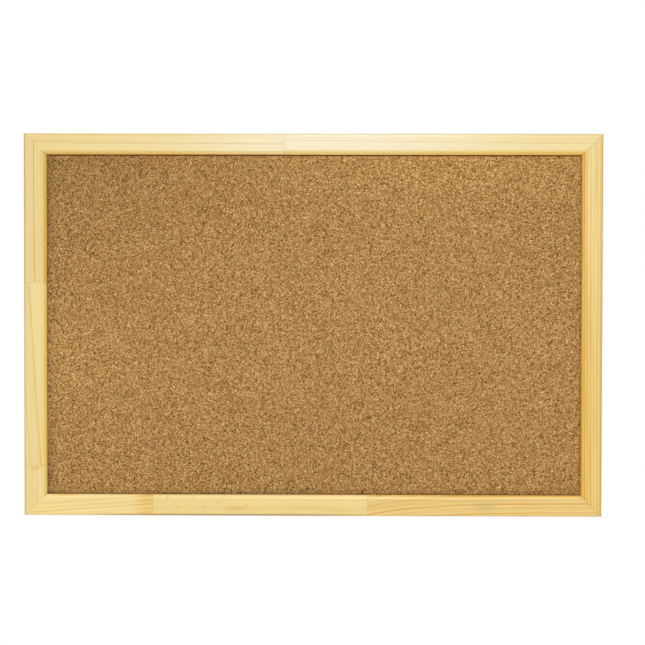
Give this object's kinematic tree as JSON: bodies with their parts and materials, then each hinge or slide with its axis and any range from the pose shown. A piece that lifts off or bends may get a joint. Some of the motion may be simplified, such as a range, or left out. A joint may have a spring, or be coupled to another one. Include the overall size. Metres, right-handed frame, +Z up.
{
  "type": "cork bulletin board",
  "caption": "Wall-hung cork pin board in a mitred, finger-jointed pine frame, with a cork-faced panel held by framer's points and swinging D-ring hangers on the back.",
  "frame": {"origin": "middle of the lower back edge of the frame, where the back of the bottom rail meets its bottom edge, on the wall plane", "axes": "+X to the right seen from the front, +Y into the wall (the cork faces -Y), +Z up"},
  "size_m": [0.6, 0.0197, 0.397],
  "materials": {
    "pine_pale": "clear satin lacquer on pale pine",
    "pine_cream": "clear satin lacquer on cream pine",
    "pine_warm": "clear satin lacquer on warm pine",
    "pine_golden": "clear satin lacquer on golden pine",
    "cork": "matt pressed cork granules",
    "core_board": "raw soft fibreboard",
    "hardboard": "raw brown hardboard with a mesh-textured back",
    "steel": "plain rolled steel strip",
    "zinc_steel": "bright zinc plate",
    "ring_wire": "nickel plated wire"
  },
  "bodies": {
    "board": {"top_rail_left_block": "pine_cream", "top_rail_right_block": "pine_pale", "bottom_rail_left_block": "pine_warm", "bottom_rail_middle_block": "pine_cream", "bottom_rail_right_block": "pine_golden", "left_rail_upper_block": "pine_warm", "left_rail_middle_block": "pine_cream", "left_rail_lower_block": "pine_pale", "right_rail": "pine_golden", "cork_sheet": "cork", "core_board": "core_board", "backing_board": "hardboard", "v_nails": "steel", "framers_points": "steel", "hanger_strap_left": "zinc_steel", "hanger_strap_right": "zinc_steel", "hanger_screw_left": "zinc_steel", "hanger_screw_right": "zinc_steel"},
    "ring_left": {"d_ring_left": "ring_wire"},
    "ring_right": {"d_ring_right": "ring_wire"}
  },
  "joints": [
    {"name": "ring_left_hinge", "type": "hinge", "parent": "board", "child": "ring_left", "pos_m": [-0.293, 0.00185, 0.292], "axis": [-1, 0, 0], "range_deg": [-4, 174]},
    {"name": "ring_right_hinge", "type": "hinge", "parent": "board", "child": "ring_right", "pos_m": [0.293, 0.00185, 0.292], "axis": [-1, 0, 0], "range_deg": [-4, 174]}
  ]
}
